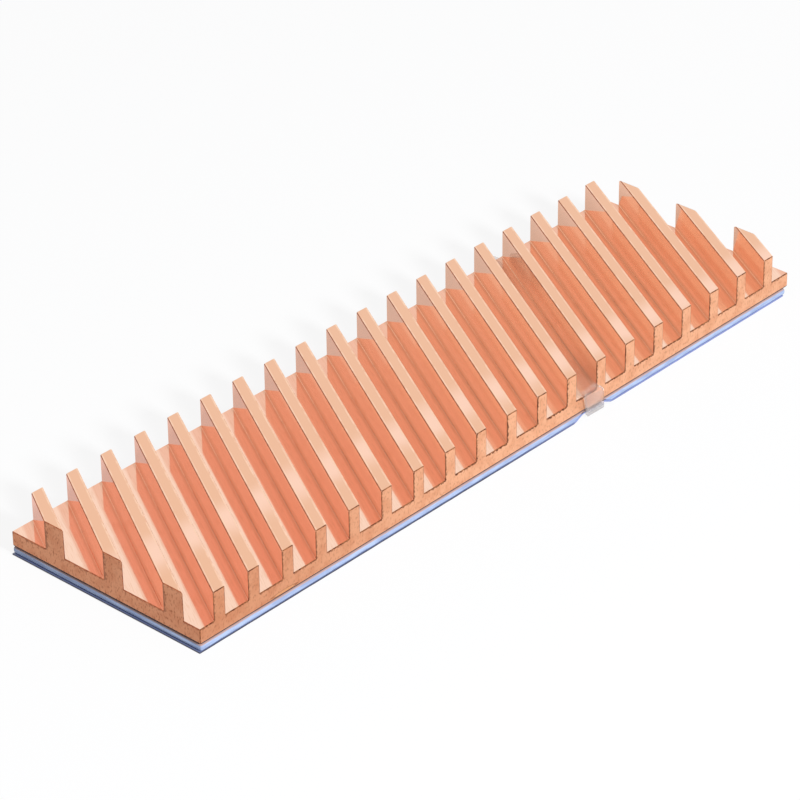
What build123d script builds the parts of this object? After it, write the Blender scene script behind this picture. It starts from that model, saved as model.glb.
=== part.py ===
# Copper heat sink for a card-shaped solid state drive, with its pad, film and band.
# X runs along the block, Y across it and Z up. The origin is on the film's underside.
from build123d import *
import os
from math import atan2, cos, degrees, radians, sin, tan

# Copper block
block_length = 70.0
block_width = 20.0
base_thickness = 1.4
bottom_edge_radius = 0.2

# Fins and the channels milled between them
fin_height = 2.5
fin_thickness = 1.04
fin_pitch = 3.62
fin_angle = 30.0
channel_root_radius = 0.2
cutter_overshoot = 1.0

# Thermal pad
pad_thickness = 0.55
pad_left_inset = 0.02
pad_right_inset = 0.3
pad_edge_radius = 0.12

# Release film
film_thickness = 0.13
film_left_overhang = 0.12
film_right_inset = 0.5

# Retaining band
band_channel = 15
band_thickness = 0.3
band_play = 0.4
band_side_clearance = 0.02
band_recess = 0.12
left_mouth_inset = 0.5
right_mouth_inset = -0.03
right_mouth_rise = 0.28
left_flank_gap = 0.05
right_flank_gap = 0.32
right_foot_gap = 0.08
flank_shift = 0.32
flank_lean = 0.34
mouth_turn_radius = 0.12

# Groove that the band presses into the film and the pad
groove_clearance = 0.15
groove_ramp = 1.3

# Heights worked out from the sizes above
pad_z = film_thickness
copper_z = pad_z + pad_thickness
floor_z = copper_z + base_thickness
groove_z = band_recess + band_thickness

# Fin pattern, with pitch and slant measured along the block
slope = tan(radians(fin_angle))
slant = block_width * slope
fin_count = int((block_length + slant) / fin_pitch)
channel_width = fin_pitch * cos(radians(fin_angle)) - fin_thickness
band_x = (band_channel - fin_count / 2) * fin_pitch
band_width = channel_width - band_play

# Line of the band along its channel, from the right wall here to the left wall beyond
half_block = block_width / 2
run_slack = band_play / 2 - band_side_clearance
run_angle = fin_angle - degrees(atan2(run_slack, half_block / cos(radians(fin_angle))))
run_slope = tan(radians(run_angle))
run_half_width = band_width / 2 / cos(radians(run_angle))


def channel_plane(x):
    """Upright plane across the channel whose floor crosses the block's middle at x."""
    across = (cos(radians(fin_angle)), -sin(radians(fin_angle)), 0)
    along = (-sin(radians(fin_angle)), -cos(radians(fin_angle)), 0)
    return Plane(origin=(x, 0, floor_z), x_dir=across, z_dir=along)


def finned_heat_sink():
    """Block with rolled bottom edges and slanted channels cut right across its top."""
    spare_channels = 3
    reach = block_length
    with BuildPart() as block:
        with Locations((0, 0, copper_z)):
            Box(
                block_length,
                block_width,
                base_thickness + fin_height,
                align=(Align.CENTER, Align.CENTER, Align.MIN),
            )
        fillet(block.faces().sort_by(Axis.Z)[0].edges(), bottom_edge_radius)
        for index in range(-1, fin_count + spare_channels - 1):
            with BuildSketch(channel_plane((index - fin_count / 2) * fin_pitch)) as channel:
                Rectangle(
                    channel_width,
                    fin_height + cutter_overshoot,
                    align=(Align.CENTER, Align.MIN),
                )
                right_corners = channel.vertices().sort_by(Axis.X)[-2:]
                fillet(right_corners.sort_by(Axis.Z)[0], channel_root_radius)
            extrude(amount=reach, both=True, mode=Mode.SUBTRACT)
    return block.part


def band_edge(side, out):
    """Corners of one long edge at the near side: side is -1 left or 1 right, out 0 inner or 1 outer."""
    grown = out * band_thickness
    mouth_inset, mouth_rise, flank_gap, foot_gap = {
        -1: (left_mouth_inset, 0, left_flank_gap, left_flank_gap),
        1: (right_mouth_inset, right_mouth_rise, right_flank_gap, right_foot_gap),
    }[side]
    mouth_y = mouth_inset - half_block
    mouth_x = band_x + mouth_y * run_slope + side * run_half_width
    top_x = band_x - half_block * run_slope + side * run_half_width + flank_shift
    return [
        Vector(mouth_x, mouth_y, floor_z + mouth_rise + grown),
        Vector(top_x, -half_block - flank_gap - grown, floor_z + grown),
        Vector(top_x + flank_lean, -half_block - foot_gap - grown, groove_z - grown),
    ]


def band_radii(side, out):
    """Bend radii at the corners that band_edge gives, in the same order."""
    grown = out * band_thickness
    flank_radius, foot_radius = {
        -1: (left_flank_gap, left_flank_gap),
        1: (right_flank_gap / 2, right_foot_gap),
    }[side]
    return [mouth_turn_radius, flank_radius + grown, foot_radius + grown]


def turned(point):
    """The same point of the band's far half, half a turn round the band's middle."""
    return Vector(2 * band_x - point.X, -point.Y, point.Z)


def band_loop(side, out):
    """Closed line of one long edge: its near half, then the far half of the other edge turned."""
    near = band_edge(side, out)
    far = [turned(point) for point in reversed(band_edge(-side, out))]
    radii = band_radii(side, out) + band_radii(-side, out)[::-1]
    return FilletPolyline(near + far, radius=radii, close=True)


def skin(first, second):
    """Ruled faces between two loops that have the same edges in the same order."""
    pairs = zip(first.order_edges(), second.order_edges())
    return [Face.make_surface_from_curves(one, other) for one, other in pairs]


def retaining_band():
    """Flat elastic loop through one channel and round the pad and the film."""
    inner_left = band_loop(-1, 0)
    inner_right = band_loop(1, 0)
    outer_left = band_loop(-1, 1)
    outer_right = band_loop(1, 1)
    faces = skin(inner_left, inner_right) + skin(outer_left, outer_right)
    faces += skin(inner_left, outer_left) + skin(inner_right, outer_right)
    return Solid(Shell(faces))


def underside(lift):
    """Line across the band's groove: flat, ramped up to the band and flat over it."""
    flat_half = run_half_width + groove_clearance
    foot_half = flat_half + groove_ramp
    far_half = block_length
    low = lift
    high = lift + groove_z
    level = (1, 0)
    return [
        Line((-far_half, low), (-foot_half, low)),
        Spline((-foot_half, low), (-flat_half, high), tangents=(level, level)),
        Line((-flat_half, high), (flat_half, high)),
        Spline((flat_half, high), (foot_half, low), tangents=(level, level)),
        Line((foot_half, low), (far_half, low)),
    ]


def sheet(bottom, top, x_low, x_high):
    """Sheet between two lines, grooved along the band and cut to its own outline."""
    foot = (band_edge(-1, 0)[-1] + band_edge(1, 0)[-1]) / 2
    groove_direction = Vector(band_x - foot.X, -foot.Y, 0)
    outline = Wire(
        bottom
        + [Line(bottom[-1] @ 1, top[-1] @ 1)]
        + top
        + [Line(bottom[0] @ 0, top[0] @ 0)]
    )
    section = Plane(origin=(band_x, 0, 0), x_dir=(1, 0, 0), z_dir=(0, -1, 0)) * Face(outline)
    grooved = extrude(section, block_width, dir=groove_direction, both=True)
    blank = Pos((x_low + x_high) / 2, 0, 0) * Box(
        x_high - x_low,
        block_width,
        copper_z,
        align=(Align.CENTER, Align.CENTER, Align.MIN),
    )
    return grooved & blank


def thermal_pad():
    """Soft sheet under the copper, with its top edge rounded where it was cut."""
    top = [Line((-block_length, copper_z), (block_length, copper_z))]
    pad = sheet(
        underside(pad_z),
        top,
        pad_left_inset - block_length / 2,
        block_length / 2 - pad_right_inset,
    )
    return fillet(pad.faces().sort_by(Axis.Z)[-1].edges(), pad_edge_radius)


def release_film():
    """Thin film on the pad's underside, past the pad at one end and short of it at the other."""
    return sheet(
        underside(0),
        underside(pad_z),
        -film_left_overhang - block_length / 2,
        block_length / 2 - film_right_inset,
    )


def main():
    nodes = {
        "finned_heat_sink": finned_heat_sink(),
        "thermal_pad": thermal_pad(),
        "release_film": release_film(),
        "retaining_band": retaining_band(),
    }
    os.makedirs("parts", exist_ok=True)
    for name, shape in nodes.items():
        export_step(shape, f"parts/{name}.step")


main()
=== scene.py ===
from math import acos, atan2, cos, pi, radians, sin, tan
from types import SimpleNamespace

import bmesh
import bpy
from mathutils import Matrix, Vector, noise


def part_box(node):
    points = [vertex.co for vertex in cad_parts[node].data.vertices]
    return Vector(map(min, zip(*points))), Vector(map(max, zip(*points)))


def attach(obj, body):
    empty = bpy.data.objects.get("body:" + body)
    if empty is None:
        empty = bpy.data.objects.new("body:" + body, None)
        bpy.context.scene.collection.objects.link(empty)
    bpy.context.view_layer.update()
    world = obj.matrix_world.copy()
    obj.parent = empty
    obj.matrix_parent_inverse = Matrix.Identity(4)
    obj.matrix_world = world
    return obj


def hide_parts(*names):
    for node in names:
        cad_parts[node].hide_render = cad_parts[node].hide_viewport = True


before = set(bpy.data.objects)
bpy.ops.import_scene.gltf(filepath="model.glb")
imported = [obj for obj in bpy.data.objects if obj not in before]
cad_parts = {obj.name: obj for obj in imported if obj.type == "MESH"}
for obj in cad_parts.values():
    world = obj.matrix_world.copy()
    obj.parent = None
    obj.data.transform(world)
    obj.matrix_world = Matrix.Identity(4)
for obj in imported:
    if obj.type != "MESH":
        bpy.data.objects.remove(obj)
bpy.context.view_layer.update()

mm = 0.001

# Places read from the parts in model.glb
copper_low, copper_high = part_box("finned_heat_sink")
pad_low, pad_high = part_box("thermal_pad")
film_low, film_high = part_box("release_film")
band_low, band_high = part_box("retaining_band")

# Fins and channels, as in the solids
fin_height = 2.5 * mm
fin_thickness = 1.04 * mm
fin_pitch = 3.62 * mm
fin_angle = radians(30)
bottom_edge_radius = 0.2 * mm
half_block = copper_high.y
floor_z = copper_high.z - fin_height
pitch_across = fin_pitch * cos(fin_angle)
channel_width = pitch_across - fin_thickness
half_channel = channel_width / 2
across = Vector((cos(fin_angle), -sin(fin_angle), 0))
along = Vector((sin(fin_angle), cos(fin_angle), 0))

# Band, as in the solids
band_x = (band_low.x + band_high.x) / 2
band_thickness = 0.3 * mm
band_play = 0.4 * mm
band_side_clearance = 0.02 * mm
band_recess = 0.12 * mm
left_mouth_inset = 0.5 * mm
right_mouth_inset = -0.03 * mm
right_mouth_rise = 0.28 * mm
left_flank_gap = 0.05 * mm
right_flank_gap = 0.32 * mm
right_foot_gap = 0.08 * mm
flank_shift = 0.32 * mm
flank_lean = 0.34 * mm
mouth_turn_radius = 0.12 * mm
band_width = channel_width - band_play
run_slack = band_play / 2 - band_side_clearance
run_angle = fin_angle - atan2(run_slack, half_block / cos(fin_angle))
run_slope = tan(run_angle)
run_half_width = band_width / 2 / cos(run_angle)

# Groove that the band presses into the sheets, with a breath of air over the band
groove_z = band_recess + band_thickness
groove_clearance = 0.15 * mm
groove_ramp = 1.3 * mm
groove_air = 0.008 * mm

# Worn and broken edges of the copper, and how near an edge has to be to count as touching
far_tip_wear = 0.25 * mm
far_tip_segments = 4
broken_edge = 0.06 * mm
bottom_edge_segments = 4
touch = 0.01 * mm
root_radius = 0.04 * mm
root_steps = 3

# Soft sheets: rounding and wander of their cut edges, and the spacing of their mesh
pad_rounding = 0.12 * mm
pad_wander = 0.05 * mm
pad_seed = 1.0
film_rounding = 0.03 * mm
film_wander = 0.03 * mm
film_seed = 7.0
film_air = 0.004 * mm
sheet_spacing = 0.35 * mm
sheet_columns = 40

# Band: rounding of its long edges, and how many points its bends, runs and faces get
band_edge_radius = 0.07 * mm
bend_steps = 10
run_steps = 12
wide_face = 0.6 * mm
wide_face_steps = 6

# Camera at the photograph's place
camera_place = Vector((-198.332, -180.717, 164.134)) * mm
camera_azimuth = radians(-47.3223)
camera_elevation = radians(31.1971)
camera_roll = radians(-0.8875)
camera_lens = 177.0

# Table, surroundings and lamp
table_reach = 1.5
table_drop = 0.01 * mm
table_white = 0.88
mirrored_white = 0.55
surroundings_level = 0.4
lamp_place = Vector((-0.05, -0.42, 0.235))
lamp_size = 0.08
lamp_power = 2.9

# Node kinds and settings that the materials repeat
MATH = "ShaderNodeMath"
VECTOR_MATH = "ShaderNodeVectorMath"
MIX = "ShaderNodeMix"
RANGE = "ShaderNodeMapRange"
NOISE = "ShaderNodeTexNoise"
AXES = "ShaderNodeSeparateXYZ"
PLACE = "ShaderNodeTexCoord"
RAYS = "ShaderNodeLightPath"
SURFACE = "ShaderNodeBsdfPrincipled"
OUTPUT = "ShaderNodeOutputMaterial"
smooth = {"interpolation_type": "SMOOTHSTEP"}
colours = {"data_type": "RGBA"}
stained = {"data_type": "RGBA", "blend_type": "MULTIPLY"}
numbers = {"data_type": "FLOAT"}


def paint(code):
    """Linear colour of an sRGB hex code, with alpha 1."""
    linear = []
    for start in (1, 3, 5):
        value = int(code[start : start + 2], 16) / 255
        linear.append(value / 12.92 if value <= 0.04045 else ((value + 0.055) / 1.055) ** 2.4)
    return (*linear, 1)


def add(tree, kind, inputs=(), output=None, **settings):
    """Adds one node with its settings, sets or links its inputs by name or in order, and gives an output."""
    node = tree.nodes.new(kind)
    for name, value in settings.items():
        setattr(node, name, value)
    sockets = [socket for socket in node.inputs if socket.enabled]
    if isinstance(inputs, dict):
        named = {socket.name: socket for socket in sockets}
        sockets = [named[name] for name in inputs]
        inputs = inputs.values()
    for socket, value in zip(sockets, inputs):
        if isinstance(value, bpy.types.NodeSocket):
            tree.links.new(value, socket)
        else:
            socket.default_value = value
    if output:
        return node.outputs[output]
    return next((socket for socket in node.outputs if socket.enabled), None)


def new_material(name):
    """Material with an empty node tree, and its coordinates in millimetres."""
    material = bpy.data.materials.new(name)
    material.use_nodes = True
    tree = material.node_tree
    tree.nodes.clear()
    place = add(tree, PLACE, output="Object")
    in_mm = add(tree, "ShaderNodeMapping", {"Vector": place, "Scale": (1 / mm,) * 3})
    return material, tree, in_mm


def copper_places(tree, in_mm):
    """Values for the copper: where a point lies in millimetres, and which kind of face it is on."""
    level_facing = (0.6, 0.9)
    end_facing = (0.93, 0.97)
    side_facing = (0.9, 0.96)
    right_facing = (-0.2, 0.2)
    top_heights = [(floor_z + fin_height * share) / mm for share in (0.9, 0.95)]
    half_pitch = pitch_across / 2 / mm

    # Place, and distance across the channels from the middle of the nearest one
    at = SimpleNamespace(in_mm=in_mm)
    at.x, at.y, at.z = (add(tree, AXES, (in_mm,), axis) for axis in "XYZ")
    across_mm = add(tree, VECTOR_MATH, (in_mm, across), operation="DOT_PRODUCT")
    at.from_middle = add(tree, MATH, (across_mm, half_pitch, -half_pitch), operation="WRAP")
    at.off_middle = add(tree, MATH, (at.from_middle,), operation="ABSOLUTE")

    # Kinds of face, told apart by the way they face, and the fin tops by their height
    normal = add(tree, PLACE, output="Normal")
    facing_x, at.facing_y, facing_z = (add(tree, AXES, (normal,), axis) for axis in "XYZ")
    lean = add(tree, VECTOR_MATH, (normal, across), operation="DOT_PRODUCT")
    at.rightward = add(tree, RANGE, (lean, *right_facing), **smooth)
    at.upward = add(tree, RANGE, (facing_z, *level_facing), **smooth)
    to_end = add(tree, MATH, (facing_x,), operation="ABSOLUTE")
    at.endward = add(tree, RANGE, (to_end, *end_facing), **smooth)
    to_side = add(tree, MATH, (at.facing_y,), operation="ABSOLUTE")
    at.sideward = add(tree, RANGE, (to_side, *side_facing), **smooth)
    at.sawn = add(tree, MATH, (at.sideward, at.endward), operation="MAXIMUM")
    at.top = add(tree, RANGE, (at.z, *top_heights), **smooth)
    return at


def channel_colours(tree, at):
    """Colours of the channels' floors and walls."""
    wall = half_channel / mm

    # Floors are painted redder towards their right wall, a painted reflection of that wall, and darker once
    # more at its root, as painted shade in the corner
    wall_reflection_span = (wall - 1.1, wall - 0.8)
    root_shade_span = (wall - 0.35, wall - 0.12)
    painted_wall_reflection = add(tree, RANGE, (at.from_middle, *wall_reflection_span), **smooth)
    floors = add(tree, MIX, (painted_wall_reflection, paint("#FCD4BC"), paint("#F2BBA0")), **colours)
    painted_root_shade = add(tree, RANGE, (at.from_middle, *root_shade_span), **smooth)
    floors = add(tree, MIX, (painted_root_shade, floors, paint("#E0AC90")), **colours)

    # Walls that face left are painted redder and darker towards the block's left end, as painted shade, and
    # those that face right are painted pale, as painted light
    left_to_right = (-42.0, 20.0)
    wall_shade_fade = add(tree, RANGE, (at.x, *left_to_right), **smooth)
    shaded_left_walls = add(tree, MIX, (wall_shade_fade, paint("#FF9560"), paint("#FFC09A")), **colours)
    walls = add(tree, MIX, (at.rightward, shaded_left_walls, paint("#FFEEE2")), **colours)
    return add(tree, MIX, (at.upward, walls, floors), **colours)


def fin_top_colours(tree, at):
    """Colours of the fin tops, with a painted highlight across them and bright painted highlights along the
    rims.
    """
    # The painted highlight lies up to 3 mm to each side of a wandering line that runs along the block
    highlight_slope = 0.109
    highlight_offset = 5.5
    highlight_wander = 2.0
    wanders_per_mm = 0.25
    highlight_reach = (3.0, 0.3)
    line = add(tree, MATH, (at.x, highlight_slope, at.y), operation="MULTIPLY_ADD")
    wander = add(tree, NOISE, {"Vector": at.in_mm, "Scale": wanders_per_mm, "Detail": 2.0})
    line = add(tree, MATH, (wander, highlight_wander, line), operation="MULTIPLY_ADD")
    line = add(tree, MATH, (line, highlight_offset), operation="ADD")
    from_line = add(tree, MATH, (line,), operation="ABSOLUTE")
    painted_highlight = add(tree, RANGE, (from_line, *highlight_reach), **smooth)
    tops = add(tree, MIX, (painted_highlight, paint("#F0BD9C"), paint("#FDD2BA")), **colours)

    # A painted highlight, a bright hairline, follows the rims and breaks off every millimetre or so
    rim_inset = 0.1
    rim_width = (0.1, 0.03)
    breaks_per_mm = 0.9
    break_share = (0.3, 0.65)
    from_rim = add(tree, MATH, (at.off_middle, half_channel / mm + rim_inset), operation="SUBTRACT")
    from_rim = add(tree, MATH, (from_rim,), operation="ABSOLUTE")
    rim = add(tree, RANGE, (from_rim, *rim_width), **smooth)
    breaks = add(tree, NOISE, {"Vector": at.in_mm, "Scale": breaks_per_mm, "Detail": 3.0})
    unbroken = add(tree, RANGE, (breaks, *break_share), **smooth)
    rim = add(tree, MATH, (rim, unbroken), operation="MULTIPLY")
    return add(tree, MIX, (rim, tops, paint("#FCD3B6")), **colours)


def sawn_colours(tree, at, shade, grain):
    """The shade with its sawn sides and ends laid over it, pitted by the saw's grit and blotched."""
    # The sides are painted lighter from the left end to the middle and the ends darkest, as painted shade
    # where less light falls
    side_shade_fade = (-35.0, 0.0)
    side_shade = add(tree, RANGE, (at.x, *side_shade_fade), **smooth)
    sides = add(tree, MIX, (side_shade, paint("#E3A079"), paint("#FFC198")), **colours)
    shade = add(tree, MIX, (at.sideward, shade, sides), **colours)
    shade = add(tree, MIX, (at.endward, shade, paint("#C98C69")), **colours)

    pit_share = (0.3, 0.5)
    pits = add(tree, MIX, (at.endward, paint("#E2D9D3"), paint("#C9BAB0")), **colours)
    unpitted = add(tree, RANGE, (grain, *pit_share), **smooth)
    speckle = add(tree, MIX, (unpitted, pits, paint("#FFFFFF")), **colours)
    shade = add(tree, MIX, (at.sawn, shade, speckle), **stained)

    # Blotches 1.25 mm wide
    blotches_per_mm = 0.8
    blotch_share = (0.35, 0.6)
    blotch_noise = add(tree, NOISE, {"Vector": at.in_mm, "Scale": blotches_per_mm, "Detail": 2.0})
    unblotched = add(tree, RANGE, (blotch_noise, *blotch_share), **smooth)
    blotches = add(tree, MIX, (unblotched, paint("#F5ECE7"), paint("#FFFFFF")), **colours)
    return add(tree, MIX, (at.sawn, shade, blotches), **stained)


def burr_shade(tree, at):
    """Strength of the shade painted along the cutter's burring, over the right wall and the floor of each
    opening in the sawn faces.

    They stand 0.22 mm apart, are 0.06 to 0.22 mm long and are strongest around the block's middle.
    """
    wall = half_channel / mm
    burrs_per_mm = 4.5
    noise_span = (0.42, 0.7)
    burr_length = (0.06, 0.22)
    wall_overlap = -0.05
    mouth_edge = (wall + 0.05, wall)
    burred_x = 6.0
    burred_reach = (26.0, 8.0)
    burr_strength = (0.5, 0.95)
    burr_noise = add(tree, NOISE, {"Vector": at.in_mm, "Scale": burrs_per_mm, "Detail": 3.0})
    length = add(tree, RANGE, (burr_noise, *noise_span, *burr_length))

    past_wall = add(tree, MATH, (at.from_middle, wall), operation="SUBTRACT")
    below_floor = add(tree, MATH, (floor_z / mm, at.z), operation="SUBTRACT")
    at_wall = add(tree, MATH, (past_wall, wall_overlap), operation="GREATER_THAN")
    within_burr = add(tree, MATH, (past_wall, length), operation="LESS_THAN")
    wall_burr = add(tree, MATH, (at_wall, within_burr), operation="MULTIPLY")
    over_floor = add(tree, MATH, (below_floor, 0.0), operation="LESS_THAN")
    wall_burr = add(tree, MATH, (wall_burr, over_floor), operation="MULTIPLY")

    in_channel = add(tree, RANGE, (at.off_middle, *mouth_edge), **smooth)
    under_floor = add(tree, MATH, (below_floor, length), operation="LESS_THAN")
    floor_burr = add(tree, MATH, (in_channel, under_floor), operation="MULTIPLY")
    burr_shade_mask = add(tree, MATH, (wall_burr, floor_burr), operation="MAXIMUM")
    burr_shade_mask = add(tree, MATH, (burr_shade_mask, at.sawn), operation="MULTIPLY")

    from_burred = add(tree, MATH, (at.x, burred_x), operation="SUBTRACT")
    from_burred = add(tree, MATH, (from_burred,), operation="ABSOLUTE")
    darkness = add(tree, RANGE, (from_burred, *burred_reach, *burr_strength))
    return add(tree, MATH, (burr_shade_mask, darkness), operation="MULTIPLY")


def scratched(tree, at, shade):
    """The shade with a scratch that loops over the near side, 2.4 mm long, 0.24 mm high, bright inside."""
    loop_x, loop_z = -26.15, 1.02
    half_length, half_height = 1.2, 0.12
    near_facing = -0.9
    loop_inside = (1.0, 0.8)
    loop_line = 1.1
    loop_fade = (0.3, 0.1)
    inside_strength, line_strength = 0.3, 0.55
    across_loop = add(tree, MATH, (at.x, 1 / half_length, -loop_x / half_length), operation="MULTIPLY_ADD")
    up_loop = add(tree, MATH, (at.z, 1 / half_height, -loop_z / half_height), operation="MULTIPLY_ADD")
    spot = add(tree, "ShaderNodeCombineXYZ", {"X": across_loop, "Y": up_loop})
    from_spot = add(tree, VECTOR_MATH, (spot,), operation="LENGTH")
    near_side = add(tree, MATH, (at.facing_y, near_facing), operation="LESS_THAN")

    inside = add(tree, RANGE, (from_spot, *loop_inside), **smooth)
    inside = add(tree, MATH, (inside, near_side), operation="MULTIPLY")
    inside = add(tree, MATH, (inside, inside_strength), operation="MULTIPLY")
    shade = add(tree, MIX, (inside, shade, paint("#FFC480")), **colours)

    from_loop = add(tree, MATH, (from_spot, loop_line), operation="SUBTRACT")
    from_loop = add(tree, MATH, (from_loop,), operation="ABSOLUTE")
    loop = add(tree, RANGE, (from_loop, *loop_fade), **smooth)
    loop = add(tree, MATH, (loop, near_side), operation="MULTIPLY")
    loop = add(tree, MATH, (loop, line_strength), operation="MULTIPLY")
    return add(tree, MIX, (loop, shade, paint("#9A5A34")), **colours)


def milled_copper():
    """Bare copper bar, slot-milled from the top and sawn off at its sides and ends.

    The cutter leaves nearly mirror-bright walls and floors with fine lines along the channels. The sawn
    faces are duller and speckled with pits, and painted dark as shade where the cutter left burring on the
    metal.
    """
    material, tree, in_mm = new_material("milled_copper")
    at = copper_places(tree, in_mm)

    # The saw's grit leaves pits 0.17 mm wide and 0.29 mm high
    pits_per_mm = (6.0, 6.0, 3.5)
    gritted = add(tree, VECTOR_MATH, (in_mm, pits_per_mm), operation="MULTIPLY")
    grain = add(tree, NOISE, {"Vector": gritted, "Scale": 1.0, "Detail": 4.0})

    # The cutter's feed lines, about 0.03 mm apart, are drawn at 0.07 mm in colour and at 0.11 mm in
    # relief, because finer ones don't show in the render
    lines_per_mm = (14.0, 0.6, 1.0)
    line_share = (0.4, 0.48)
    streaks_per_mm = (9.0, 0.3, 9.0)
    turned = {"rotation_type": "Z_AXIS"}
    along_mm = add(tree, "ShaderNodeVectorRotate", {"Vector": in_mm, "Angle": fin_angle}, **turned)
    streaked = add(tree, VECTOR_MATH, (along_mm, streaks_per_mm), operation="MULTIPLY")
    streaks = add(tree, NOISE, {"Vector": streaked, "Scale": 1.0, "Detail": 2.0})
    lined = add(tree, VECTOR_MATH, (along_mm, lines_per_mm), operation="MULTIPLY")
    line_noise = add(tree, NOISE, {"Vector": lined, "Scale": 1.0, "Detail": 3.0})
    unlined = add(tree, RANGE, (line_noise, *line_share), **smooth)
    lines = add(tree, MIX, (unlined, paint("#F9F4F0"), paint("#FFFFFF")), **colours)
    not_top = add(tree, MATH, (1.0, at.top), operation="SUBTRACT")
    on_floor = add(tree, MATH, (at.upward, not_top), operation="MULTIPLY")
    on_top = add(tree, MATH, (at.upward, at.top), operation="MULTIPLY")

    shade = channel_colours(tree, at)
    shade = add(tree, MIX, (on_top, shade, fin_top_colours(tree, at)), **colours)
    shade = sawn_colours(tree, at, shade, grain)
    # Painted shade of the burrs at each opening, in dark brown
    shade = add(tree, MIX, (burr_shade(tree, at), shade, paint("#6B3B28")), **colours)
    shade = scratched(tree, at, shade)
    shade = add(tree, MIX, (on_floor, shade, lines), **stained)

    # Cut faces stay nearly flat and mirror-like, and sawn ones are rough. The fin walls scatter some of
    # the light among their marks, so that they don't go black when they are seen across the fins.
    cut_relief, sawn_relief = 0.015, 0.4
    relief_depth = 0.02 * mm
    wall_metallic = 0.78
    cut_roughness, sawn_roughness = 0.08, 0.42
    relief = add(tree, MIX, (at.sawn, streaks, grain), **numbers)
    strength = add(tree, MIX, (at.sawn, cut_relief, sawn_relief), **numbers)
    bump = add(tree, "ShaderNodeBump", {"Strength": strength, "Distance": relief_depth, "Height": relief})
    not_wall = add(tree, MATH, (at.sawn, at.upward), operation="MAXIMUM")
    metallic = add(tree, MIX, (not_wall, wall_metallic, 1.0), **numbers)
    roughness = add(tree, MIX, (at.sawn, cut_roughness, sawn_roughness), **numbers)
    finish = {"Base Color": shade, "Metallic": metallic, "Roughness": roughness, "Normal": bump}
    surface = add(tree, SURFACE, finish)
    add(tree, OUTPUT, {"Surface": surface})
    return material


def torn_copper(name, bare, torn, torn_share, metallic=1.0):
    """Copper edge torn by the cutter or broken by handling, in two tones that break up along it: the edge's
    painted light and shade.
    """
    # Tears are 0.33 mm long
    tears_per_mm = 3.0
    tear_fade = 0.12
    roughness = 0.45
    material, tree, in_mm = new_material(name)
    tears = add(tree, NOISE, {"Vector": in_mm, "Scale": tears_per_mm, "Detail": 3.0})
    whole = add(tree, RANGE, (tears, torn_share - tear_fade, torn_share + tear_fade), **smooth)
    shade = add(tree, MIX, (whole, paint(torn), paint(bare)), **colours)
    surface = add(tree, SURFACE, {"Base Color": shade, "Metallic": metallic, "Roughness": roughness})
    add(tree, OUTPUT, {"Surface": surface})
    return material


def filled_silicone():
    """Filled silicone rubber, rolled to a sheet and cut to size.

    It is soft, matt and light blue, with a faint mottle drawn out along the sheet. Its upper edge carries
    painted shade and a painted reflection of the copper: a pale brown line under the block.
    """
    # Mottles are 2 mm long and 0.33 mm high
    mottles_per_mm = (0.5, 0.5, 3.0)
    mottle_share = (0.35, 0.65)
    copper_shade_heights = (0.55, 0.63)
    roughness = 0.55
    silicone_ior = 1.41
    material, tree, in_mm = new_material("filled_silicone")
    rolled = add(tree, VECTOR_MATH, (in_mm, mottles_per_mm), operation="MULTIPLY")
    mottle = add(tree, NOISE, {"Vector": rolled, "Scale": 1.0, "Detail": 4.0})
    pale = add(tree, RANGE, (mottle, *mottle_share), **smooth)
    shade = add(tree, MIX, (pale, paint("#8292B4"), paint("#98A9C8")), **colours)
    height = add(tree, AXES, (in_mm,), "Z")
    # Painted shade and painted reflection of the copper along the pad's upper edge, as a pale brown
    tinted = add(tree, RANGE, (height, *copper_shade_heights), **smooth)
    shade = add(tree, MIX, (tinted, shade, paint("#A88C88")), **colours)
    surface = add(tree, SURFACE, {"Base Color": shade, "Roughness": roughness, "IOR": silicone_ior})
    add(tree, OUTPUT, {"Surface": surface})
    return material


def polyester_film():
    """Clear polyester film, stretched thin and slit: glossy, tinted by the pad, and painted navy at its cut
    edge as shade, darkest at the left end.
    """
    cut_height = (0.14, 0.11)
    not_under = (-0.9, -0.7)
    edge_shade_fades = (-6.0, 20.0)
    roughness = 0.2
    polyester_ior = 1.6
    material, tree, in_mm = new_material("polyester_film")
    place_x = add(tree, AXES, (in_mm,), "X")
    height = add(tree, AXES, (in_mm,), "Z")
    normal = add(tree, PLACE, output="Normal")
    facing_z = add(tree, AXES, (normal,), "Z")
    # Painted shade along the cut edge: near-black navy at the left end, paler towards the right
    low = add(tree, RANGE, (height, *cut_height), **smooth)
    upright = add(tree, RANGE, (facing_z, *not_under), **smooth)
    shaded_cut_edge = add(tree, MATH, (low, upright), operation="MULTIPLY")
    to_right = add(tree, RANGE, (place_x, *edge_shade_fades), **smooth)
    film_edge_shade = add(tree, MIX, (to_right, paint("#23253A"), paint("#6E78A8")), **colours)
    shade = add(tree, MIX, (shaded_cut_edge, paint("#7A86B4"), film_edge_shade), **colours)
    surface = add(tree, SURFACE, {"Base Color": shade, "Roughness": roughness, "IOR": polyester_ior})
    add(tree, OUTPUT, {"Surface": surface})
    return material


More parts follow.
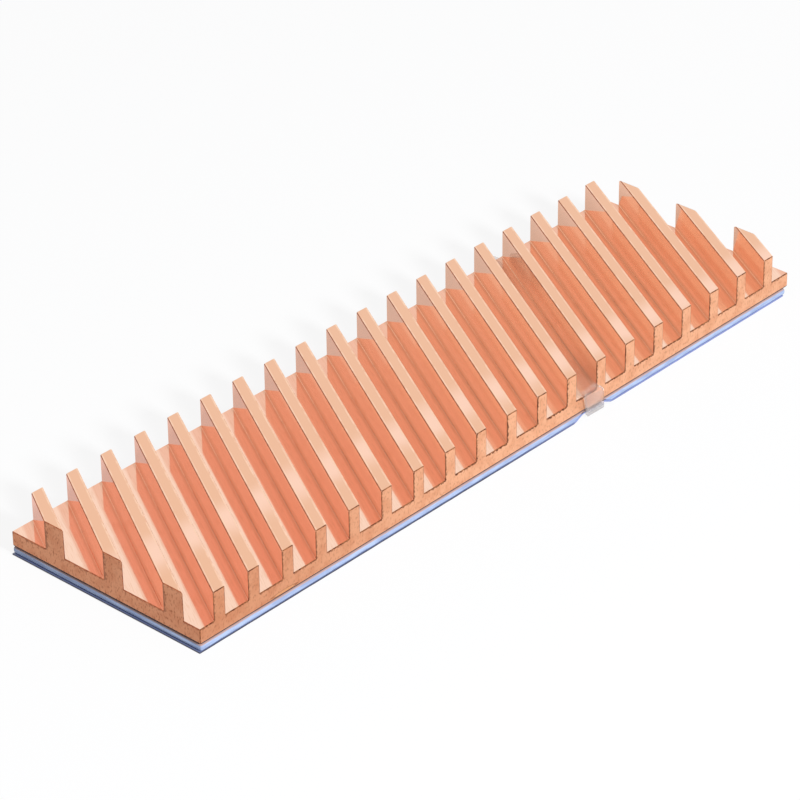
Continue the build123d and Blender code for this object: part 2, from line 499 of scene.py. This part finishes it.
def clear_silicone():
    """Clear silicone rubber, moulded as a flat loop.

    It shows what lies behind it. Its bends outside the block are milky and glass-like, and its run along
    the channel's floor all but vanishes against the copper.
    """
    past_side = (half_block / mm - 0.4, half_block / mm + 0.2)
    mouth_stretch = (half_block / mm - 7.0, half_block / mm - 0.8)
    upper_bend = (1.7, 2.1)
    far_bend_loss = 0.8
    run_body, mouth_body, bend_body = 0.03, 0.14, 0.6
    bend_clearness = 0.92
    roughness = 0.08
    silicone_ior = 1.41
    material, tree, in_mm = new_material("clear_silicone")
    place_y = add(tree, AXES, (in_mm,), "Y")
    height = add(tree, AXES, (in_mm,), "Z")
    off_axis = add(tree, MATH, (place_y,), operation="ABSOLUTE")
    outside = add(tree, RANGE, (off_axis, *past_side), **smooth)

    # The far bend is thinned, so that the polished walls don't mirror it as a dark patch
    high = add(tree, RANGE, (height, *upper_bend), **smooth)
    beyond = add(tree, MATH, (place_y, 0.0), operation="GREATER_THAN")
    far_bend = add(tree, MATH, (high, beyond), operation="MULTIPLY")
    loss = add(tree, MATH, (far_bend, far_bend_loss), operation="MULTIPLY")
    kept = add(tree, MATH, (1.0, loss), operation="SUBTRACT")
    outside = add(tree, MATH, (outside, kept), operation="MULTIPLY")

    clearness = add(tree, MIX, (outside, 0.0, bend_clearness), **numbers)
    to_mouth = add(tree, RANGE, (off_axis, *mouth_stretch), **smooth)
    body = add(tree, MIX, (to_mouth, run_body, mouth_body), **numbers)
    body = add(tree, MIX, (outside, body, bend_body), **numbers)
    tint = add(tree, MIX, (outside, paint("#D3B29C"), paint("#FAF0EC")), **colours)
    finish = {"Base Color": tint, "Roughness": roughness, "IOR": silicone_ior, "Alpha": body}
    surface = add(tree, SURFACE, {**finish, "Transmission Weight": clearness})
    add(tree, OUTPUT, {"Surface": surface})
    return material


def new_piece(name, shape, materials, node):
    """Links a piece made from a bmesh, and lets it stand for its node."""
    mesh = bpy.data.meshes.new(name)
    shape.to_mesh(mesh)
    shape.free()
    for material in materials:
        mesh.materials.append(material)
    piece = bpy.data.objects.new(name, mesh)
    bpy.context.collection.objects.link(piece)
    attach(piece, "root")
    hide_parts(node)


def sharp_edges(shape):
    """Outer edges of a block that are sharp enough to have been broken."""
    sharp = radians(35)
    return [edge for edge in shape.edges if edge.is_convex and edge.calc_face_angle(0) > sharp]


def comb_section():
    """Outline across the fins, with the rounded root at each channel's right: offsets and heights."""
    # Channels to each side of the middle, enough to pass both ends of the block
    reach = 15
    end = (reach + 1) * pitch_across
    section = [(end, copper_low.z), (-end, copper_low.z), (-end, copper_high.z)]
    for index in range(-reach, reach + 1):
        left = index * pitch_across - half_channel
        right = index * pitch_across + half_channel
        section += [(left, copper_high.z), (left, floor_z)]
        for count in range(root_steps + 1):
            turn = pi / 2 * count / root_steps
            offset = right - root_radius + root_radius * sin(turn)
            section.append((offset, floor_z + root_radius * (1 - cos(turn))))
        section.append((right, copper_high.z))
    section.append((end, copper_high.z))
    return section


def cut(shape, place, way):
    """Cuts off what lies beyond a plane, and closes the cut."""
    cut_tolerance = 0.0001 * mm
    parts = shape.verts[:] + shape.edges[:] + shape.faces[:]
    made = bmesh.ops.bisect_plane(
        shape, geom=parts, dist=cut_tolerance, plane_co=place, plane_no=way, clear_outer=True
    )["geom_cut"]
    rim = [part for part in made if isinstance(part, bmesh.types.BMEdge)]
    bmesh.ops.contextual_create(shape, geom=rim)


def fin_comb():
    """Block with all its channels, still with sharp edges: a long slanted comb cut to the block's outline."""
    # Half the comb's length along its fins, enough to pass both sides of the block
    half_length = 30 * mm
    shape = bmesh.new()
    ends = []
    for way in (-1, 1):
        middle = along * way * half_length
        places = [across * offset + middle + Vector((0, 0, z)) for offset, z in comb_section()]
        ends.append([shape.verts.new(place) for place in places])
    first, last = ends
    for index in range(len(first)):
        after = (index + 1) % len(first)
        shape.faces.new((first[index], first[after], last[after], last[index]))
    cut(shape, (0, copper_low.y, 0), (0, -1, 0))
    cut(shape, (0, copper_high.y, 0), (0, 1, 0))
    cut(shape, (copper_low.x, 0, 0), (-1, 0, 0))
    cut(shape, (copper_high.x, 0, 0), (1, 0, 0))
    bmesh.ops.recalc_face_normals(shape, faces=shape.faces)
    return shape


def far_tips(shape):
    """Edges of the fin tips at the far side and at the right end."""
    upright_share = 0.9
    side_share = 0.99
    end_share = 0.999
    tips = []
    for edge in sharp_edges(shape):
        upright = abs((edge.verts[0].co - edge.verts[1].co).z) > upright_share * edge.calc_length()
        middle = (edge.verts[0].co + edge.verts[1].co) / 2
        at_far_side = middle.y > side_share * half_block
        at_right_end = middle.x > end_share * copper_high.x
        at_top = middle.z > copper_high.z - touch
        if middle.z > floor_z and at_far_side and upright:
            tips.append(edge)
        elif middle.z > floor_z and (at_far_side or at_right_end) and not upright and at_top:
            tips.append(edge)
    return tips


def copper_block():
    """The sink with its edges broken: worn far tips, and torn edges where the cutter left."""
    # Bare copper edges, all with painted light and shade: burred where the cutter left a fin's top and
    # painted dark as shade, burnished where it entered and painted bright as a highlight, torn by the saw and
    # painted dark as shade, and rolled over the pad and painted near-black as the shade that lies there
    edge_materials = [
        torn_copper("burred_edge_painted_shade", "#B9714F", "#9A5238", 0.5),
        torn_copper("burnished_edge_painted_highlight", "#F4CDB0", "#DDA988", 0.45, 0.3),
        torn_copper("torn_edge_painted_shade", "#B5764F", "#6A3828", 0.48),
        torn_copper("rolled_edge_painted_shade", "#4A2C26", "#241820", 0.5),
    ]
    burred_shaded, burnished_highlit, torn, rolled = range(1, len(edge_materials) + 1)
    shape = fin_comb()

    bottom = [
        edge
        for edge in sharp_edges(shape)
        if max(vert.co.z for vert in edge.verts) < copper_low.z + touch
    ]
    plain_bevel = {"profile": 0.5, "affect": "EDGES", "clamp_overlap": False}
    bmesh.ops.bevel(
        shape,
        geom=bottom,
        offset=bottom_edge_radius,
        segments=bottom_edge_segments,
        material=rolled,
        **plain_bevel,
    )
    shape.normal_update()
    bmesh.ops.bevel(
        shape, geom=far_tips(shape), offset=far_tip_wear, segments=far_tip_segments, **plain_bevel
    )
    shape.normal_update()
    broken = bmesh.ops.bevel(
        shape, geom=sharp_edges(shape), offset=broken_edge, segments=1, **plain_bevel
    )["faces"]
    shape.normal_update()

    # Broken edges at the near side and the left end are torn, and those along the fin tops are
    # burred on the left and burnished on the right; torn and burred ones carry painted shade, burnished ones
    # a painted highlight
    near_facing, left_facing, up_facing, least_lean = -0.45, -0.85, 0.5, 0.5
    for face in broken:
        lean = face.normal.dot(across)
        if face.normal.y < near_facing or face.normal.x < left_facing:
            face.material_index = torn
        elif face.normal.z > up_facing and lean < -least_lean:
            face.material_index = burred_shaded
        elif face.normal.z > up_facing and lean > least_lean:
            face.material_index = burnished_highlit

    same_place = 0.002 * mm
    bmesh.ops.remove_doubles(shape, verts=shape.verts, dist=same_place)
    bmesh.ops.dissolve_degenerate(shape, edges=shape.edges, dist=same_place)
    flat_ways = (Vector((1, 0, 0)), Vector((0, 1, 0)), Vector((0, 0, 1)), across)
    flat_from = 0.9999
    crease = radians(30)
    for face in shape.faces:
        face.smooth = max(abs(face.normal.dot(way)) for way in flat_ways) < flat_from
    for edge in shape.edges:
        edge.smooth = edge.calc_face_angle(0) < crease
    new_piece("copper_block", shape, [milled_copper()] + edge_materials, "finned_heat_sink")


def grid_shape(rows, closed=True):
    """Quads between rows of points, each row a ring, with flat caps unless the rows close on themselves."""
    shape = bmesh.new()
    rings = [[shape.verts.new(point) for point in row] for row in rows]
    count = len(rings[0])
    ring_pairs = list(zip(rings, rings[1:]))
    if closed:
        ring_pairs.append((rings[-1], rings[0]))
    for ring, following in ring_pairs:
        for index in range(count):
            after = (index + 1) % count
            shape.faces.new((ring[index], ring[after], following[after], following[index]))
    if not closed:
        shape.faces.new(rings[0])
        shape.faces.new(rings[-1][::-1])
    bmesh.ops.recalc_face_normals(shape, faces=shape.faces)
    for face in shape.faces:
        face.smooth = True
    return shape


def smooth_rise(value):
    """Rises softly from 0 to 1 with its value."""
    value = min(max(value, 0.0), 1.0)
    return value * value * (3 - 2 * value)


def groove_lift(x, y):
    """Height by which the band's groove lifts the sheet here."""
    line = band_x + y * groove_slope
    outside = abs(x - line) - run_half_width - groove_clearance
    return (groove_z + groove_air) * (1 - smooth_rise(outside / groove_ramp))


def sheet_rows(x_low, x_high, bottom, top, rounding, wander, seed):
    """Rings across a soft sheet from end to end, with rounded edges that wander a little."""
    # Steps over a rounded end and from a flat face out to a side, in shares of the rounding
    end_steps = [(0.0, 1.0), (0.3, 0.35), (1.0, 0.0)]
    outward = [(1.0, 0.0), (0.35, 0.3), (0.0, 1.0)]
    inward = outward[::-1]
    waves_per_mm = 0.8
    end_clearance = 1.2 * rounding

    plan = [(x_low + rounding * run, rounding * inset) for run, inset in end_steps]
    x = x_low
    while x < x_high - end_clearance:
        if x > x_low + end_clearance:
            plan.append((x, 0.0))
        x += sheet_spacing
    plan += [(x_high - rounding * run, rounding * inset) for run, inset in end_steps[::-1]]

    rows = []
    for x, inset in plan:
        row = []
        for side, level, steps in ((-1, 0, inward), (1, 0, outward), (1, 1, inward), (-1, 1, outward)):
            for run, rise in steps:
                # Each side and face wanders along its own line through the noise
                spot = Vector((x / mm * waves_per_mm, side * 3.0 + seed, rise * 2.0 + level * 5))
                cut_in = max(noise.noise(spot) * wander, 0.0)
                y = side * (half_block - rounding * run - cut_in - inset * 0.5)
                low = bottom + groove_lift(x, y) + inset
                high = top(x, y) - inset
                z = low + rounding * rise if level == 0 else high - rounding * rise
                row.append(Vector((x, y, z)))
            columns = range(1, sheet_columns)
            flat_width = 2 * half_block - 4 * rounding
            if side == -1 and level == 0:
                for index in columns:
                    y = -half_block + 2 * rounding + flat_width * index / sheet_columns
                    row.append(Vector((x, y, bottom + groove_lift(x, y) + inset)))
            if side == 1 and level == 1:
                for index in reversed(columns):
                    y = -half_block + 2 * rounding + flat_width * index / sheet_columns
                    row.append(Vector((x, y, top(x, y) - inset)))
        rows.append(row)
    return rows


def band_corners(side, out):
    """Corners of one long edge, side -1 left or 1 right, out 0 inner or 1 outer: near half, then far half."""
    grown = out * band_thickness
    bends = {
        -1: (left_mouth_inset, 0, left_flank_gap, left_flank_gap),
        1: (right_mouth_inset, right_mouth_rise, right_flank_gap, right_foot_gap),
    }
    corners = {}
    for edge, (mouth_inset, mouth_rise, flank_gap, foot_gap) in bends.items():
        mouth_y = mouth_inset - half_block
        mouth_x = band_x + mouth_y * run_slope + edge * run_half_width
        top_x = band_x - half_block * run_slope + edge * run_half_width + flank_shift
        corners[edge] = [
            Vector((mouth_x, mouth_y, floor_z + mouth_rise + grown)),
            Vector((top_x, -half_block - flank_gap - grown, floor_z + grown)),
            Vector((top_x + flank_lean, -half_block - foot_gap - grown, groove_z - grown)),
        ]
    far = [Vector((2 * band_x - point.x, -point.y, point.z)) for point in reversed(corners[-side])]
    return corners[side] + far


def band_radii(side, out):
    """Bend radii at the corners, in the same order."""
    grown = out * band_thickness
    radii = {
        -1: [mouth_turn_radius, left_flank_gap + grown, left_flank_gap + grown],
        1: [mouth_turn_radius, right_flank_gap / 2 + grown, right_foot_gap + grown],
    }
    return radii[side] + radii[-side][::-1]


def rounded_loop(corners, radii):
    """Points round a closed line of corners with arcs, in equal numbers on each run and bend."""
    bends = []
    for index, corner in enumerate(corners):
        back = (corners[index - 1] - corner).normalized()
        ahead = (corners[(index + 1) % len(corners)] - corner).normalized()
        half = acos(back.dot(ahead)) / 2
        reach = radii[index] / tan(half)
        centre = corner + (back + ahead).normalized() * radii[index] / sin(half)
        first = corner + back * reach - centre
        last = corner + ahead * reach - centre
        swept = first.angle(last)
        arc = []
        for count in range(bend_steps + 1):
            share = count / bend_steps
            spoke = (first * sin((1 - share) * swept) + last * sin(share * swept)) / sin(swept)
            arc.append(centre + spoke)
        bends.append(arc)
    loop = []
    for index, arc in enumerate(bends):
        following = bends[(index + 1) % len(bends)]
        loop += arc
        for count in range(1, run_steps):
            loop.append(arc[-1].lerp(following[0], count / run_steps))
    return loop


def band_rows():
    """Rings round the band's section, whose four long edges are slightly rounded."""
    long_edges = ((-1, 0), (1, 0), (1, 1), (-1, 1))
    edges = [rounded_loop(band_corners(side, out), band_radii(side, out)) for side, out in long_edges]
    most_of_side = 0.3
    rows = []
    for section in zip(*edges):
        row = []
        for index, corner in enumerate(section):
            back = section[index - 1] - corner
            ahead = section[(index + 1) % 4] - corner
            first = corner + back.normalized() * min(band_edge_radius, back.length * most_of_side)
            last = corner + ahead.normalized() * min(band_edge_radius, ahead.length * most_of_side)
            for share in (0.0, 0.25, 0.5, 0.75, 1.0):
                one = first.lerp(corner, share)
                two = corner.lerp(last, share)
                row.append(one.lerp(two, share))
            if ahead.length > wide_face:
                other = section[(index + 1) % 4] - ahead.normalized() * band_edge_radius
                row += [last.lerp(other, count / wide_face_steps) for count in range(1, wide_face_steps)]
        rows.append(row)
    return rows


def pad_top(x, y):
    """Flat upper face of the pad."""
    return pad_high.z


def film_top(x, y):
    """Upper face of the film, which follows the groove just under the pad."""
    return pad_low.z - film_air + groove_lift(x, y)


# Line of the groove, from the middle of the band's foot at one side to the other
left_foot = band_corners(-1, 0)[2]
right_foot = band_corners(1, 0)[2]
foot = (left_foot + right_foot) / 2
groove_slope = (foot.x - band_x) / foot.y

copper_block()
pad = sheet_rows(pad_low.x, pad_high.x, pad_low.z, pad_top, pad_rounding, pad_wander, pad_seed)
new_piece("thermal_pad_sheet", grid_shape(pad, closed=False), [filled_silicone()], "thermal_pad")
film = sheet_rows(film_low.x, film_high.x, 0.0, film_top, film_rounding, film_wander, film_seed)
new_piece("release_film_sheet", grid_shape(film, closed=False), [polyester_film()], "release_film")
new_piece("elastic_band", grid_shape(band_rows()), [clear_silicone()], "retaining_band")


def white_where_seen(tree, lit):
    """Mixes a lit surface with plain white for camera, glossy and transmission rays."""
    camera_ray = add(tree, RAYS, output="Is Camera Ray")
    glossy_ray = add(tree, RAYS, output="Is Glossy Ray")
    clear_ray = add(tree, RAYS, output="Is Transmission Ray")
    mirrored = add(tree, MATH, (glossy_ray, clear_ray), operation="MAXIMUM")
    mirrored = add(tree, MATH, (mirrored, mirrored_white), operation="MULTIPLY")
    seen = add(tree, MATH, (camera_ray, table_white), operation="MULTIPLY")
    share = add(tree, MATH, (seen, mirrored), operation="MAXIMUM")
    white = add(tree, "ShaderNodeEmission", {"Color": (1, 1, 1, 1), "Strength": 1.0})
    return add(tree, "ShaderNodeMixShader", (share, lit, white))


def studio_floor():
    """Table of white coated board: matt, seen as plain white, with the part's soft shadow."""
    material, tree, _ = new_material("white_table")
    lit = add(tree, "ShaderNodeBsdfDiffuse", {"Color": paint("#F4F5F8")})
    add(tree, OUTPUT, {"Surface": white_where_seen(tree, lit)})
    material.cycles.emission_sampling = "NONE"
    mesh = bpy.data.meshes.new("floor")
    corners = [(x * table_reach, y * table_reach, 0) for x, y in ((-1, -1), (1, -1), (1, 1), (-1, 1))]
    mesh.from_pydata(corners, [], [(0, 1, 2, 3)])
    mesh.materials.append(material)
    floor = bpy.data.objects.new("floor", mesh)
    bpy.context.collection.objects.link(floor)
    floor.location.z = -table_drop


def studio_world():
    """White surroundings at a plain level, pure white where seen or mirrored."""
    world = bpy.data.worlds.new("studio")
    bpy.context.scene.world = world
    world.use_nodes = True
    world.cycles.sampling_method = "NONE"
    tree = world.node_tree
    tree.nodes.clear()
    camera_ray = add(tree, RAYS, output="Is Camera Ray")
    glossy_ray = add(tree, RAYS, output="Is Glossy Ray")
    clear_ray = add(tree, RAYS, output="Is Transmission Ray")
    seen = add(tree, MATH, (camera_ray, glossy_ray), operation="MAXIMUM")
    seen = add(tree, MATH, (seen, clear_ray), operation="MAXIMUM")
    level = add(tree, MIX, (seen, surroundings_level, 1.0), **numbers)
    light = add(tree, "ShaderNodeBackground", {"Color": (1, 1, 1, 1), "Strength": level})
    add(tree, "ShaderNodeOutputWorld", {"Surface": light})


def key_lamp():
    """Soft square lamp that faces the part from its near side, and isn't mirrored in it."""
    data = bpy.data.lights.new("key", "AREA")
    data.size = lamp_size
    data.energy = lamp_power
    lamp = bpy.data.objects.new("key", data)
    bpy.context.collection.objects.link(lamp)
    lamp.location = lamp_place
    lamp.rotation_mode = "QUATERNION"
    lamp.rotation_quaternion = lamp_place.to_track_quat("Z", "Y")
    lamp.visible_glossy = False
    lamp.visible_transmission = False


def camera():
    """Camera at the photograph's place, angle and lens."""
    level_right = Vector((cos(camera_azimuth), sin(camera_azimuth), 0))
    back_x = sin(camera_azimuth) * cos(camera_elevation)
    back_y = -cos(camera_azimuth) * cos(camera_elevation)
    back = Vector((back_x, back_y, sin(camera_elevation)))
    level_up = back.cross(level_right)
    right = level_right * cos(camera_roll) + level_up * sin(camera_roll)
    up = level_up * cos(camera_roll) - level_right * sin(camera_roll)
    data = bpy.data.cameras.new("camera")
    data.lens = camera_lens
    data.clip_start = 0.01
    data.clip_end = 10
    made = bpy.data.objects.new("camera", data)
    bpy.context.collection.objects.link(made)
    made.matrix_world = Matrix.Translation(camera_place) @ Matrix((right, up, back)).transposed().to_4x4()
    bpy.context.scene.camera = made


studio_floor()
studio_world()
key_lamp()
camera()
bpy.context.scene.view_settings.view_transform = "Standard"

bpy.context.view_layer.update()
